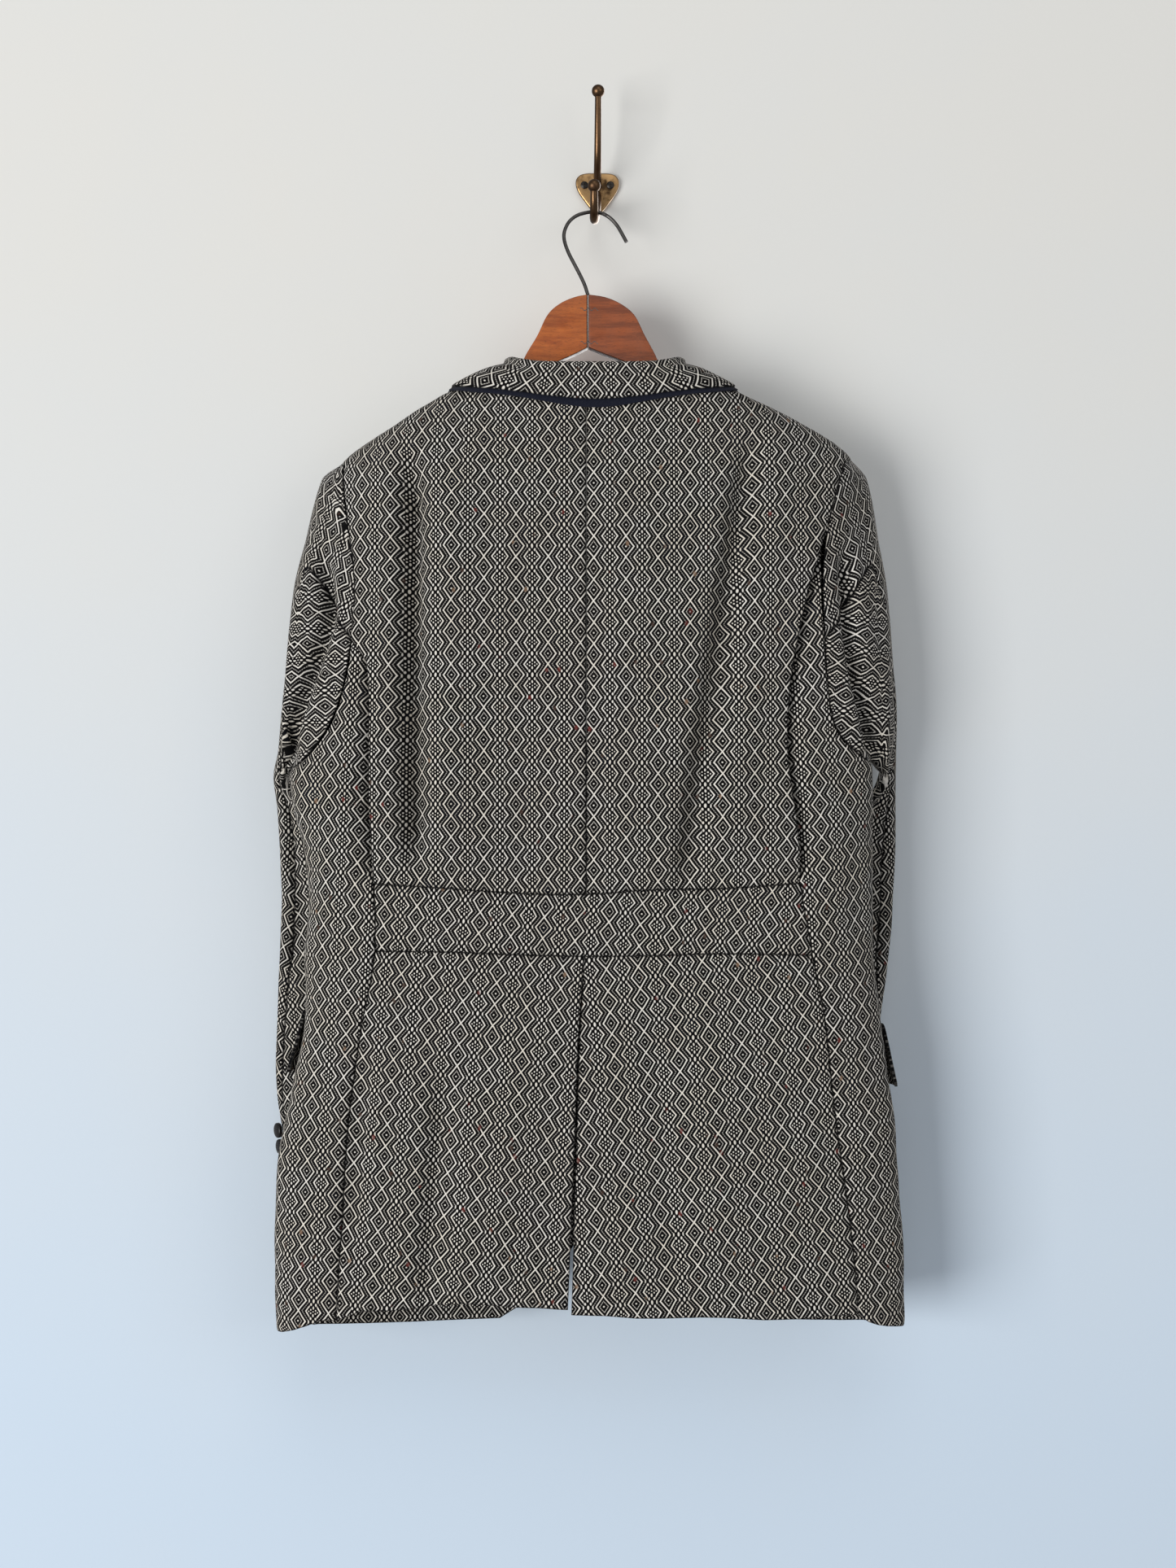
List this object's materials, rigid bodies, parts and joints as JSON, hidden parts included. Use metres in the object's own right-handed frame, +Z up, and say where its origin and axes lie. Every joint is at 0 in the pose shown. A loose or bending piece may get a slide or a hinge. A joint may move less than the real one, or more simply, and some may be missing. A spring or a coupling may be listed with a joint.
{
  "type": "sport coat on a wooden hanger and a wall hook",
  "caption": "Belted tweed sport coat with action pleats and a centre vent, hung with its back outwards on a wooden hanger and a wall hook.",
  "frame": {"origin": "centre of the hook plate's back face, on the wall", "axes": "+Z up, +Y into the wall, +X to the right as seen from in front of the wall; the coat's back faces -Y"},
  "size_m": [0.5566, 0.1321, 1.097],
  "materials": {
    "tweed": "rough patterned wool tweed",
    "felt": "dark navy felt",
    "button": "glossy near-black",
    "wood": "worn satin varnish",
    "wire": "dull dark steel",
    "brass": "aged, partly browned brass",
    "screw": "dark oxidised"
  },
  "bodies": {
    "root": {"back_upper_left": "tweed", "back_upper_right": "tweed", "belt": "tweed", "back_skirt_left": "tweed", "back_skirt_right": "tweed", "side_panel_left": "tweed", "side_panel_right": "tweed", "front_left": "tweed", "front_right": "tweed", "lapel_left": "tweed", "lapel_right": "tweed", "pocket_flap_left": "tweed", "pocket_flap_right": "tweed", "top_sleeve_left": "tweed", "under_sleeve_left": "tweed", "top_sleeve_right": "tweed", "under_sleeve_right": "tweed", "top_collar": "tweed", "under_collar": "felt", "cuff_button_left_1": "button", "cuff_button_left_2": "button", "cuff_button_right_1": "button", "cuff_button_right_2": "button", "front_button_1": "button", "front_button_2": "button", "hanger_left": "wood", "hanger_right": "wood", "hanger_wire": "wire", "wall_hook": "brass", "hook_screw_left": "screw", "hook_screw_right": "screw"}
  },
  "joints": []
}
